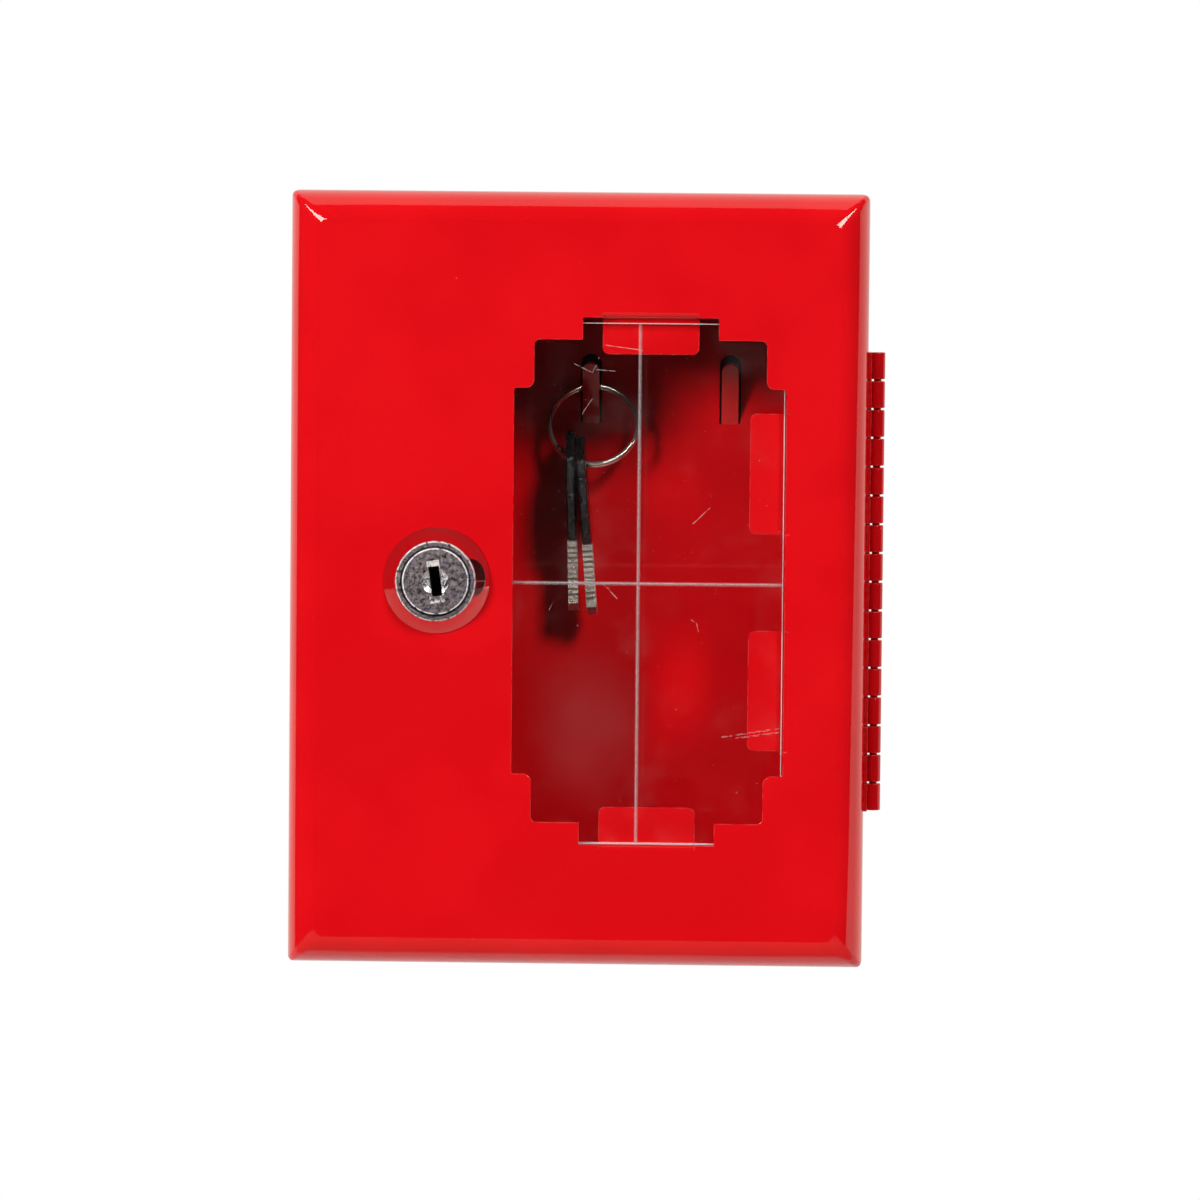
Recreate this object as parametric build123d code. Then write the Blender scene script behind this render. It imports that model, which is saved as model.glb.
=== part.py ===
from build123d import *
import math
import os

# Break glass key box: a shallow wall box of folded red sheet steel with a hinged door,
# a scored acrylic pane behind a stepped window, a cam lock and a split ring of keys.
# Units are millimetres.  X is to the right seen from the front, Y runs into the wall,
# Z is up.  The origin is the middle of the back face, so the wall is the plane Y = 0.

# ---- overall sizes ----------------------------------------------------------------
WIDTH = 120.0            # box and door, side to side
HEIGHT = 161.0           # box and door, bottom to top
DEPTH = 40.0             # wall to door face
SHEET = 1.0              # thickness of the folded steel
DOOR_DEPTH = 12.0        # door face to the rear edge of its flanges
SPLIT_GAP = 0.4          # gap between the door flanges and the case
ROLL_R = 6.0             # rolled edge of the door face, measured across the face
ROLL_DEEP = 9.0          # and measured back from the face
FACE_CORNER_R = 2.2      # corners of the flat face, where the rolled edges start
TIP_R = 1.0              # the pointed tips, half way back along the rolled edges
TIP_IN = 0.5             # how far the tips are drawn in from the flanges
CASE_CORNER_R = 1.8      # upright corners of the case

DOOR_FRONT = -DEPTH
DOOR_REAR = DOOR_FRONT + DOOR_DEPTH
CASE_FRONT = DOOR_REAR + SPLIT_GAP

# ---- case ---------------------------------------------------------------------------
LIP = 8.0                # front return lip of the case
LIP_CORNER_R = 3.0       # corners of the mouth inside the lip
PAN_FLANGE = 8.0         # depth of the back panel's folded flanges
PAN_GAP = 0.05           # back panel to case sides
PAN_CORNER_R = CASE_CORNER_R - SHEET - PAN_GAP
PAN_BEND_R = 0.8
PAN_RELIEF = 4.0         # flanges cut back from each corner
WALL_HOLE_X = 45.0       # wall holes, half the spacing across
WALL_HOLE_Z = 65.0       # wall holes, half the spacing upwards
WALL_HOLE_R = 2.75

# ---- key hooks lanced out of the back panel -----------------------------------------
HOOK_X = (1.7, 31.3)
HOOK_ROOT_Z = 31.8
HOOK_LENGTH = 14.2
HOOK_WIDTH = 3.6
HOOK_LEAN = 25.0         # degrees forward of upright
HOOK_SLOT = 0.45         # cut width round the tongue

# ---- window in the door -------------------------------------------------------------
WINDOW_X = 14.9          # middle of the window
WIN_WIDE = 28.1          # half width of the middle part
WIN_STEP_IN = 4.1        # each side is this much narrower at the first step
WIN_NOTCH_IN = 10.0      # and this much more at the end notches
WIN_Z_NOTCH = 54.6       # half height over the notches
WIN_NOTCH_DEEP = 4.6
WIN_STEP_DEEP = 10.0
WIN_WIDE_R = 0.4         # corner radii
WIN_INNER_R = 1.7
WIN_STEP_R = 1.2
TAB_END_LENGTH = 20.0    # width of the top and bottom tabs
TAB_END_REACH = 7.6      # how far they lap over the pane from the notch edge
TAB_SIDE_Z = (10.0, 35.0)
TAB_SIDE_REACH = 7.4     # how far the side tabs lap from the window edge
TAB_ROOT = 3.2           # flat of a tab outside the window edge
TAB_BEND_R = 1.2
TAB_CREASE_R = 0.2
TAB_CORNER_R = 1.45
TAB_GAP = 0.08           # air between pane and tab

WIN_STEP = WIN_WIDE - WIN_STEP_IN
WIN_NOTCH = WIN_STEP - WIN_NOTCH_IN
WIN_Z_STEP = WIN_Z_NOTCH - WIN_NOTCH_DEEP
WIN_Z_WIDE = WIN_Z_STEP - WIN_STEP_DEEP

# ---- lock, measured from the door face and from the rear of the lock body -----------
LOCK_X = -29.0
SLOT_TILT = -8.0         # turn of the key slot about the lock axis
HEAD_LAP = 1.5           # flange of the head beyond the body
HEAD_EDGE = 0.35         # straight edge of the flange
FLARE_OUT = 1.35         # trumpet half way up, beyond the rim
FLARE_UP = 2.3
RIM_WALL = 1.25          # straight rim round the cap
RIM_UP = 4.35
RIM_EDGE = 0.25          # its chamfer
HEAD_UP = 4.85           # rim above the door face
CAP_LAP = 0.95           # cap beyond the plug
CAP_T = 0.8
CAP_SUNK = 0.2           # cap face below the rim
CAP_AIR = 0.08
DISH_R = 2.75            # conical dish round the key slot
DISH_FLOOR_R = 1.9
DISH = 0.5
LEAD_W = 2.4             # lead-in notch above the key slot
LEAD_UP = 1.1            # its height above the slot
LEAD_DEEP = 0.4
PLUG_R = 6.0
PLUG_AIR = 0.05
BODY_R = 9.5
BODY_AIR = 0.1           # body in the door's hole and in the toothed washer
BODY_LONG = 12.7         # body behind the door face
FLAT_IN = 1.45           # depth of the two flats
THREAD_PITCH = 1.0
THREAD_DEEP = 0.35
LUG_UP = 0.8             # stop lugs on the body's rear
LUG_WIDE = 1.7
STOP_AIR = 0.3
STOP_T = 0.85
WAFERS = 5
WAFER_BEHIND = 0.6       # first wafer in front of the door face
WAFER_PITCH = 2.2
WAFER_W = 5.0
WAFER_H = 10.4
WAFER_T = 1.0
WAFER_AIR = 0.05         # wafer to its slot in the plug
EAR_REACH = 1.4          # ear of a wafer beyond its side
EAR_H = 1.3
EAR_Z = 0.9
SPRING_R = 0.48
SPRING_WIRE_R = 0.11
SPRING_LONG = 3.3
STUB = 7.6
STUB_R = 4.9
STUB_LONG = 2.85         # square stub behind the body
CAM_T = 2.0
CAM_WIDE = 12.0
CAM_HEAD_R = 7.4
CAM_REACH = 27.0
CAM_END_R = 3.0
CAM_AIR = 0.02
SPLIT_WASHER_R = 5.5
SPLIT_WASHER_T = 1.1
SCREW_R = 2.45
SCREW_HEAD_R = 4.75
SCREW_HEAD_T = 3.0
SCREW_CROSS = 2.6
SCREW_CROSS_W = 1.1
TOOTH_WASHER_W = 1.1
TOOTH_WASHER_T = 0.7
TOOTH = 0.9
NUT_WALL = 2.0           # body to the nut's flats
NUT_T = 3.0
NUT_CROWN = 0.9

CAP_R = PLUG_R + CAP_LAP
BORE_R = PLUG_R + PLUG_AIR
RIM_R = CAP_R + RIM_WALL
HEAD_R = BODY_R + HEAD_LAP
FLAT_HALF = BODY_R - FLAT_IN
LUG_IN_R = BODY_R - LUG_WIDE
STOP_R = LUG_IN_R - STOP_AIR
STOP_TAB_R = BODY_R - STOP_AIR
TOOTH_WASHER_R = BODY_R + BODY_AIR + TOOTH_WASHER_W
NUT_FLATS = 2 * (BODY_R + NUT_WALL)
BODY_REAR = DOOR_FRONT + BODY_LONG
CAP_FRONT = DOOR_FRONT - HEAD_UP + CAP_SUNK
CAP_REAR = CAP_FRONT + CAP_T
WAFER_FIRST = DOOR_FRONT - WAFER_BEHIND
WAFER_LAST = WAFER_FIRST + WAFER_PITCH * (WAFERS - 1)
STOP_FRONT = BODY_REAR + 0.05
CAM_FRONT = STOP_FRONT + STOP_T + CAM_AIR
CAM_REAR = CAM_FRONT + CAM_T
STUB_REAR = BODY_REAR + STUB_LONG
NUT_FRONT = DOOR_FRONT + SHEET + TOOTH_WASHER_T

# ---- pane, held by the tabs and by one flat of the lock nut -------------------------
PANE_T = 2.0
PANE_SEAT = 0.02         # air between door sheet and pane
PANE_EDGE = 0.3          # chamfered corners
PANE_NUT_AIR = 0.2       # pane to lock nut
PANE_SIDE_AIR = 0.3      # pane to the bend of the side tabs
PANE_LOW_AIR = 0.1       # pane to the bend of the bottom tab
PANE_TOP_AIR = 1.1       # pane to the bend of the top tab
SCORE_W = 0.8
SCORE_DEEP = 0.5

PANE_LEFT = LOCK_X + NUT_FLATS / 2 + PANE_NUT_AIR
PANE_RIGHT = WINDOW_X + WIN_WIDE - PANE_SIDE_AIR
PANE_BOTTOM = PANE_LOW_AIR - WIN_Z_NOTCH
PANE_TOP = WIN_Z_NOTCH - PANE_TOP_AIR

# ---- hinge --------------------------------------------------------------------------
KNUCKLES = 16
KNUCKLE_PITCH = 6.0
KNUCKLE_LONG = 5.6
KNUCKLE_EDGE = 0.15
BARREL_R = 1.55
BARREL_CLEAR = 0.45      # barrels clear of the box side
PIN_R = 0.8
PIN_AIR = 0.05           # pin in the door's knuckles
PIN_GRIP = 0.01          # pin in the case's knuckles
LEAF_T = 0.7
LEAF_DOOR = 4.0          # door leaf forward of the axis
LEAF_CASE = 10.0         # case leaf behind the axis
LEAF_CLEAR = 2.3         # leaf edge cut back from the axis beside the other leaf's knuckles
LEAF_SHORT = 0.2         # leaf ends short of the outer knuckles' pitch
NICK = 0.4               # punch nick in the door leaf's edge at every pitch

AXIS_X = WIDTH / 2 + BARREL_CLEAR + BARREL_R
AXIS_Y = DOOR_REAR
HINGE_TOP = KNUCKLES * KNUCKLE_PITCH / 2

# ---- key ring and keys --------------------------------------------------------------
RING_R = 9.3             # middle of the wire
RING_WIRE_R = 0.5
RING_PITCH = 1.05
RING_TURNS = 1.92
RING_TILT = 27.0         # degrees, lower edge forward
RING_SIDE = 0.7          # ring middle right of its hook's middle
RING_HANG_Y = -2.15
RING_RISE = 7.7          # wire above the hook's root
KEY_SIDE = (-4.6, -2.3)  # keys left of the ring's middle
KEY_LEAN = (1.5, 4.5)    # sideways lean of each key, degrees
KEY_HOLE_R = 2.4
KEY_HOLE_DROP = 0.5
KEY_T = 2.1              # blade thickness
KEY_WIDE = 6.0           # blade width
KEY_LONG = 14.8          # blade beyond the bow
KEY_TIP = 1.6            # length of the tapered tip
KEY_TIP_W = 2.4
KEY_CUT_FROM = 2.0       # first cut from the bow
KEY_CUTS_FRONT = (0.7, 0.35, 0.9, 0.5, 0.75)
KEY_CUTS_REAR = (0.5, 0.8, 0.3, 0.7, 0.45)
KEY_GROOVE_DEEP = 0.35
TANG_T = 1.0
TANG_W = 5.0
TANG_TOP = -8.5
TANG_AIR = 0.01
BOW_T = 1.8
BOW_TOP = 6.4            # bow above the ring hole's middle
BOW_SHOULDER = 5.0       # height of its slanted top corners
BOW_TOP_W = 7.2
BOW_WIDE = 17.2
BOW_WAIST = -8.4         # where the sides start to run in
BOW_FOOT = -16.55
BOW_FOOT_W = 9.2
BOW_R = 1.4
BOW_EDGE = 0.25

RING_X = HOOK_X[0] + RING_SIDE
RING_HANG_Z = HOOK_ROOT_Z + RING_RISE
KEY_SLOT_W = KEY_T + 0.1
KEY_SLOT_H = KEY_WIDE + 0.2


def slab(sketch, y_front, y_back):
    """Sketch drawn in X and Z, made solid from y_front to y_back."""
    return extrude(Plane.XZ.offset(-y_back) * sketch, amount=y_back - y_front)


def box(x0, x1, y0, y1, z0, z1):
    """Box between two corners."""
    middle = Pos((x0 + x1) / 2, (y0 + y1) / 2, (z0 + z1) / 2)
    return middle * Box(x1 - x0, y1 - y0, z1 - z0)


def ring_y(r_out, r_in, y_front, y_back):
    """Flat ring round the Y axis."""
    return slab(Circle(r_out) - Circle(r_in), y_front, y_back)


def poly(points):
    """Polygon through the points, always counter-clockwise."""
    area = 0.0
    for (x0, y0), (x1, y1) in zip(points, points[1:] + points[:1]):
        area += x0 * y1 - x1 * y0
    if area < 0:
        points = points[::-1]
    return Polygon(*points, align=None)


def sector(angle_from, angle_to, reach):
    """Triangle with its point on the axis; angles run from +Z towards +X."""
    a = math.radians(angle_from)
    b = math.radians(angle_to)
    first = (reach * math.sin(a), reach * math.cos(a))
    last = (reach * math.sin(b), reach * math.cos(b))
    return poly([(0, 0), first, last])


def round_at(sketch, corners, radius):
    """Round the sketch corners that lie at the given points."""
    for x, z in corners:
        near = [v for v in sketch.vertices() if abs(v.X - x) < 0.01 and abs(v.Y - z) < 0.01]
        sketch = fillet(near, radius)
    return sketch


def save(name, shape):
    """One STEP file for each node."""
    export_step(shape, "parts/" + name + ".step")


# ---- case ---------------------------------------------------------------------------
def make_case_wrap():
    """Four sides folded from one strip, with a lip turned in round the front."""
    outer = slab(RectangleRounded(WIDTH, HEIGHT, CASE_CORNER_R), CASE_FRONT, 0)
    front = outer.faces().sort_by(Axis.Y)[0]
    outer = fillet(front.edges(), SHEET)
    inner_w = WIDTH - 2 * SHEET
    inner_h = HEIGHT - 2 * SHEET
    inner_r = CASE_CORNER_R - SHEET
    inner = slab(RectangleRounded(inner_w, inner_h, inner_r), CASE_FRONT + SHEET, 1)
    mouth = RectangleRounded(WIDTH - 2 * LIP, HEIGHT - 2 * LIP, LIP_CORNER_R)
    return outer - inner - slab(mouth, CASE_FRONT - 1, CASE_FRONT + 2 * SHEET)


def make_back_panel():
    """Shallow pan spot-welded inside the rear of the wrap, with two lanced hooks."""
    w = WIDTH - 2 * SHEET - 2 * PAN_GAP
    h = HEIGHT - 2 * SHEET - 2 * PAN_GAP
    pan = slab(RectangleRounded(w, h, PAN_CORNER_R), -SHEET - PAN_FLANGE, 0)
    rear = pan.faces().sort_by(Axis.Y)[-1]
    pan = fillet(rear.edges(), PAN_BEND_R)
    pan -= slab(Rectangle(w - 2 * SHEET, h - 2 * SHEET), -2 * PAN_FLANGE - SHEET, -SHEET)
    for sx in (-1, 1):
        for sz in (-1, 1):
            # folded flanges stop short of the corners
            relief = Pos(sx * w / 2, sz * h / 2) * Rectangle(2 * PAN_RELIEF, 2 * PAN_RELIEF)
            pan -= slab(relief, -2 * PAN_FLANGE, -2 * SHEET)
            wall_hole = Pos(sx * WALL_HOLE_X, sz * WALL_HOLE_Z) * Circle(WALL_HOLE_R)
            pan -= slab(wall_hole, -2 * SHEET, SHEET)
    for x in HOOK_X:
        slot_w = HOOK_WIDTH + 2 * HOOK_SLOT
        slot_long = HOOK_LENGTH + HOOK_SLOT
        slot = Pos(x, HOOK_ROOT_Z + (slot_long - slot_w / 2) / 2) * Rectangle(
            slot_w, slot_long - slot_w / 2)
        slot += Pos(x, HOOK_ROOT_Z + slot_long - slot_w / 2) * Circle(slot_w / 2)
        pan -= slab(slot, -2 * SHEET, SHEET)
        tongue = Pos(0, (HOOK_LENGTH - HOOK_WIDTH / 2) / 2) * Rectangle(
            HOOK_WIDTH, HOOK_LENGTH - HOOK_WIDTH / 2)
        tongue += Pos(0, HOOK_LENGTH - HOOK_WIDTH / 2) * Circle(HOOK_WIDTH / 2)
        blank = slab(tongue, -SHEET / 2, SHEET / 2)
        pan += Pos(x, -SHEET / 2, HOOK_ROOT_Z) * Rot(HOOK_LEAN, 0, 0) * blank
    return pan


# ---- door ---------------------------------------------------------------------------
def corner_radius(angle, inset):
    """Corner radius of the door outline, angle degrees round the rolled edge."""
    drawn_in = 1 - math.sqrt(0.5)
    out = ROLL_R * (1 - math.sin(math.radians(angle)))
    tip_out = TIP_IN - drawn_in * TIP_R
    if out > tip_out:
        share = (out - tip_out) / (ROLL_R - tip_out)
        radius = TIP_R + (FACE_CORNER_R - TIP_R) * share
    else:
        radius = (TIP_IN - out) / drawn_in
    return max(radius - inset, 0.3)


def door_outline(angle, inset):
    """Outline of the door at an angle round its rolled edge, placed at its depth."""
    back = (ROLL_DEEP - inset) * (1 - math.cos(math.radians(angle)))
    out = inset + (ROLL_R - inset) * (1 - math.sin(math.radians(angle)))
    outline = RectangleRounded(WIDTH - 2 * out, HEIGHT - 2 * out, corner_radius(angle, inset))
    return Plane.XZ.offset(-(DOOR_FRONT + inset + back)) * outline


def door_shape(inset, rear):
    """Door outline with rolled edges drawn in to pointed tips, shrunk by inset."""
    tip_out = TIP_IN - (1 - math.sqrt(0.5)) * TIP_R
    tip_angle = math.degrees(math.asin(1 - tip_out / ROLL_R))
    steps = 8
    front = [door_outline(tip_angle * k / steps, inset) for k in range(steps + 1)]
    behind = [door_outline(tip_angle + (90 - tip_angle) * k / steps, inset)
              for k in range(steps + 1)]
    w = WIDTH - 2 * inset
    h = HEIGHT - 2 * inset
    flanges = slab(RectangleRounded(w, h, corner_radius(90, inset)), DOOR_FRONT + ROLL_DEEP, rear)
    return loft(front) + loft(behind) + flanges


def window_cut():
    """Stepped window outline."""
    quarter = [(WIN_WIDE, WIN_Z_WIDE), (WIN_STEP, WIN_Z_WIDE), (WIN_STEP, WIN_Z_STEP),
               (WIN_NOTCH, WIN_Z_STEP), (WIN_NOTCH, WIN_Z_NOTCH)]
    points = list(quarter)
    points += [(-x, z) for x, z in reversed(quarter)]
    points += [(-x, -z) for x, z in quarter]
    points += [(x, -z) for x, z in reversed(quarter)]
    outline = poly(points)
    for sx in (-1, 1):
        for sz in (-1, 1):
            outline = round_at(outline, [(sx * WIN_WIDE, sz * WIN_Z_WIDE)], WIN_WIDE_R)
            outline = round_at(outline, [(sx * WIN_STEP, sz * WIN_Z_WIDE)], WIN_INNER_R)
            outline = round_at(outline, [(sx * WIN_STEP, sz * WIN_Z_STEP)], WIN_STEP_R)
    return outline


def make_tab(edge, free, length):
    """Joggled tab: back round the pane's edge, then behind it.  X points outwards."""
    behind = SHEET + PANE_SEAT + PANE_T + TAB_GAP
    root = edge + TAB_ROOT
    outline = poly([(root, 0), (edge, 0), (edge, behind), (free, behind),
                    (free, behind + SHEET), (edge + SHEET, behind + SHEET),
                    (edge + SHEET, SHEET), (root, SHEET)])
    outline = round_at(outline, [(edge, 0), (edge + SHEET, behind + SHEET)], TAB_BEND_R)
    outline = round_at(outline, [(edge, behind), (edge + SHEET, SHEET)], TAB_CREASE_R)
    tab = extrude(Plane.XY.offset(-length / 2) * outline, amount=length)
    corners = tab.edges().filter_by(Axis.Y).group_by(Axis.X)[0]
    return fillet(corners, TAB_CORNER_R)


def make_tab_room(edge, length):
    """Door sheet removed where the tab's bend starts."""
    root = edge + TAB_ROOT - 0.2
    return box(edge - SHEET / 2, root, -SHEET / 2, 1.5 * SHEET, -length / 2, length / 2)


def make_door_panel():
    """Door pressing with the stepped window, four pane tabs and the lock hole."""
    door = door_shape(0, DOOR_REAR) - door_shape(SHEET, DOOR_REAR + 1)
    face = (DOOR_FRONT - 1, DOOR_FRONT + 2 * SHEET)
    door -= slab(Pos(WINDOW_X, 0) * window_cut(), *face)
    places = []
    for turn in (-90, 90):
        places.append((Pos(WINDOW_X, DOOR_FRONT, 0) * Rot(0, turn, 0), WIN_Z_NOTCH,
                       TAB_END_REACH, TAB_END_LENGTH))
    side_length = TAB_SIDE_Z[1] - TAB_SIDE_Z[0]
    side_mid = (TAB_SIDE_Z[1] + TAB_SIDE_Z[0]) / 2
    for sz in (-1, 1):
        places.append((Pos(WINDOW_X, DOOR_FRONT, sz * side_mid), WIN_WIDE,
                       TAB_SIDE_REACH, side_length))
    for place, edge, reach, length in places:
        door -= place * make_tab_room(edge, length)
        door += place * make_tab(edge, edge - reach, length)
    lock_hole = Circle(BODY_R + BODY_AIR) & Rectangle(2 * FLAT_HALF + BODY_AIR, 4 * BODY_R)
    return door - slab(Pos(LOCK_X, 0) * lock_hole, *face)


def make_pane():
    """Acrylic pane with a V-scored cross on its inner face."""
    y0 = DOOR_FRONT + SHEET + PANE_SEAT
    y1 = y0 + PANE_T
    pane = box(PANE_LEFT, PANE_RIGHT, y0, y1, PANE_BOTTOM, PANE_TOP)
    pane = chamfer(pane.edges().filter_by(Axis.Y), PANE_EDGE)
    mid_x = (PANE_LEFT + PANE_RIGHT) / 2
    mid_z = (PANE_BOTTOM + PANE_TOP) / 2
    half = SCORE_W / 2
    groove_x = poly([(mid_x - half, y1 + 0.01), (mid_x + half, y1 + 0.01),
                     (mid_x, y1 - SCORE_DEEP)])
    pane -= extrude(Plane.XY.offset(PANE_BOTTOM - 1) * groove_x, amount=PANE_TOP - PANE_BOTTOM + 2)
    groove_z = poly([(y1 + 0.01, mid_z - half), (y1 + 0.01, mid_z + half),
                     (y1 - SCORE_DEEP, mid_z)])
    pane -= extrude(Plane.YZ.offset(PANE_LEFT - 1) * groove_z, amount=PANE_RIGHT - PANE_LEFT + 2)
    return pane


# ---- hinge --------------------------------------------------------------------------
def knuckle_z(index):
    """Middle height of a knuckle counted from the top."""
    return HINGE_TOP - KNUCKLE_PITCH * (index + 0.5)


def make_leaf(first, y_edge, y_far, y_axis, bore_r):
    """Leaf of the piano hinge carrying every second knuckle."""
    x0 = WIDTH / 2
    x1 = x0 + LEAF_T
    z_end = HINGE_TOP - LEAF_SHORT
    leaf = box(x0, x1, min(y_edge, y_far), max(y_edge, y_far), -z_end, z_end)
    for index in range(first, KNUCKLES, 2):
        z = knuckle_z(index)
        half = KNUCKLE_LONG / 2
        leaf += box(x0, x1, min(y_edge, y_axis), max(y_edge, y_axis), z - half, z + half)
        barrel = Pos(AXIS_X, AXIS_Y, z) * Cylinder(BARREL_R, KNUCKLE_LONG)
        barrel = chamfer(barrel.edges().filter_by(GeomType.CIRCLE), KNUCKLE_EDGE)
        leaf += barrel
    leaf -= Pos(AXIS_X, AXIS_Y, 0) * Cylinder(bore_r, 2 * HINGE_TOP + 4)
    return leaf


def make_leaf_door():
    """Door leaf, spot-welded to the outside of the door flange."""
    front = AXIS_Y - LEAF_DOOR
    leaf = make_leaf(1, AXIS_Y - LEAF_CLEAR, front, AXIS_Y - 0.1, PIN_R + PIN_AIR)
    for index in range(1, KNUCKLES):
        z = HINGE_TOP - KNUCKLE_PITCH * index
        leaf -= box(WIDTH / 2 - 1, WIDTH / 2 + 2 * LEAF_T, front - 1, front + 1.2 * NICK,
                    z - NICK / 2, z + NICK / 2)
    return leaf


def make_leaf_case():
    """Case leaf, spot-welded to the outside of the case."""
    return make_leaf(0, AXIS_Y + LEAF_CLEAR, AXIS_Y + LEAF_CASE, AXIS_Y + 0.1, PIN_R + PIN_GRIP)


def make_pin():
    """Hinge pin, its ends level with the outer knuckles."""
    pin = Pos(AXIS_X, AXIS_Y, 0) * Cylinder(PIN_R, 2 * (HINGE_TOP - LEAF_SHORT))
    return chamfer(pin.edges().filter_by(GeomType.CIRCLE), KNUCKLE_EDGE)


# ---- lock ---------------------------------------------------------------------------
def draw_lines(lines, at, points):
    """Adds straight lines from one point to the next and returns the last point."""
    for point in points:
        if point != at:
            lines.append(Line(at, point))
            at = point
    return at


def make_housing():
    """Chromed lock body: trumpet head, threaded barrel with two flats, stop lugs."""
    f = DOOR_FRONT
    seat_r = CAP_R + CAP_AIR
    lines = []
    at = draw_lines(lines, (BORE_R, BODY_REAR), [(BODY_R, BODY_REAR)])
    crests = int((BODY_LONG - 1.6 * THREAD_PITCH) / THREAD_PITCH)
    for crest in range(crests):
        y = BODY_REAR - (0.6 + crest) * THREAD_PITCH
        at = draw_lines(lines, at, [(BODY_R, y), (BODY_R - THREAD_DEEP, y - THREAD_DEEP),
                                    (BODY_R, y - 2 * THREAD_DEEP)])
    at = draw_lines(lines, at, [(BODY_R, f), (HEAD_R, f), (HEAD_R, f - HEAD_EDGE)])
    rim_foot = (RIM_R, f - RIM_UP)
    lines.append(ThreePointArc(at, (RIM_R + FLARE_OUT, f - FLARE_UP), rim_foot))
    at = rim_foot
    rim_in = seat_r + 0.22
    draw_lines(lines, at, [(RIM_R, f - HEAD_UP + RIM_EDGE), (RIM_R - RIM_EDGE, f - HEAD_UP),
                           (rim_in, f - HEAD_UP), (seat_r, f - HEAD_UP + RIM_EDGE),
                           (seat_r, CAP_REAR + 0.05), (BORE_R, CAP_REAR + 0.05),
                           (BORE_R, BODY_REAR)])
    housing = revolve(make_face(lines), Axis.Y, 360)
    for sx in (-1, 1):
        flat = Pos(sx * (FLAT_HALF + HEAD_R), 0) * Rectangle(2 * HEAD_R, 4 * HEAD_R)
        housing -= slab(flat, f, BODY_REAR + 2)
    for turn in (SLOT_TILT, SLOT_TILT + 90):
        # the wafers spring out into these grooves when the key is drawn
        half = WAFER_W / 2 + 3 * WAFER_AIR
        end = WAFER_T / 2 + 0.2
        housing -= Rot(0, turn, 0) * box(-half, half, WAFER_FIRST - end, WAFER_LAST + end,
                                         -PLUG_R - 0.95, PLUG_R + 0.95)
    ring = Circle(BODY_R) - Circle(LUG_IN_R)
    for first, last in ((106, 150), (300, 344)):
        lug = ring & sector(first, last, 2 * BODY_R) & Rectangle(2 * FLAT_HALF, 4 * BODY_R)
        housing += slab(lug, BODY_REAR - 0.2, BODY_REAR + LUG_UP)
    return Pos(LOCK_X, 0, 0) * housing


def wafer_y(index):
    """Middle of a wafer along the lock."""
    return WAFER_FIRST + WAFER_PITCH * index


def make_plug():
    """Turning core with wafer slots, keyway and a square stub for the cam."""
    plug = slab(Circle(PLUG_R), CAP_REAR, STOP_FRONT)
    half_w = KEY_SLOT_W / 2 + 0.05
    half_h = KEY_SLOT_H / 2 + 0.05
    inside = box(-half_w, half_w, CAP_FRONT, WAFER_LAST + 2.8, -half_h, half_h)
    side = WAFER_W / 2
    end = WAFER_T / 2
    for index in range(WAFERS):
        y = wafer_y(index)
        inside += box(-side - WAFER_AIR, side + WAFER_AIR, y - end - WAFER_AIR,
                      y + end + WAFER_AIR, -PLUG_R - 1, PLUG_R + 1)
        inside += box(side, side + EAR_REACH + 0.1, y - end - 0.2, y + end + 0.2,
                      EAR_Z - SPRING_LONG - 0.4, EAR_Z + EAR_H + 0.9)
    plug -= Rot(0, SLOT_TILT, 0) * inside
    stub = Rectangle(STUB, STUB) & Circle(STUB_R)
    plug += slab(stub, BODY_REAR - 0.2, STUB_REAR)
    plug -= slab(Circle(SCREW_R + 0.05), BODY_REAR - 0.9, STUB_REAR + 1)
    return Pos(LOCK_X, 0, 0) * plug


def make_cap():
    """Chrome disc over the front of the plug, dished round the key slot."""
    cap = slab(Circle(CAP_R), CAP_FRONT, CAP_REAR)
    cap = chamfer(cap.faces().sort_by(Axis.Y)[0].edges(), 0.2)
    # the cone starts a little in front of the face so that the cut is clean
    over = 0.1
    spread = (DISH_R - DISH_FLOOR_R) / DISH * over
    profile = poly([(0, CAP_FRONT - over), (DISH_R + spread, CAP_FRONT - over),
                    (DISH_FLOOR_R, CAP_FRONT + DISH), (0, CAP_FRONT + DISH)])
    cap -= revolve(profile, Axis.Y, 360)
    slot = Rectangle(KEY_SLOT_W, KEY_SLOT_H)
    cap -= Rot(0, SLOT_TILT, 0) * slab(slot, CAP_FRONT - 1, CAP_REAR + 0.2)
    slot_top = KEY_SLOT_H / 2
    cap -= Rot(0, SLOT_TILT, 0) * box(-LEAD_W / 2, LEAD_W / 2, CAP_FRONT - 1,
                                      CAP_FRONT + LEAD_DEEP, slot_top - 0.7, slot_top + LEAD_UP)
    return Pos(LOCK_X, 0, 0) * cap


def make_wafers():
    """Five brass wafers, drawn level with the plug."""
    wafers = []
    side = WAFER_W / 2
    end = WAFER_T / 2
    for index in range(WAFERS):
        y = wafer_y(index)
        wafer = box(-side, side, y - end, y + end, -WAFER_H / 2, WAFER_H / 2)
        wafer += box(side - 0.1, side + EAR_REACH, y - end, y + end, EAR_Z, EAR_Z + EAR_H)
        rise = 0.25 * ((index * 2) % 3 - 1)
        half_w = KEY_T / 2 + 0.25
        half_h = KEY_WIDE / 2 + 0.45
        wafer -= box(-half_w, half_w, y - WAFER_T, y + WAFER_T, rise - half_h, rise + half_h)
        wafers.append(Pos(LOCK_X, 0, 0) * Rot(0, SLOT_TILT, 0) * wafer)
    return Compound(children=wafers)


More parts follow.
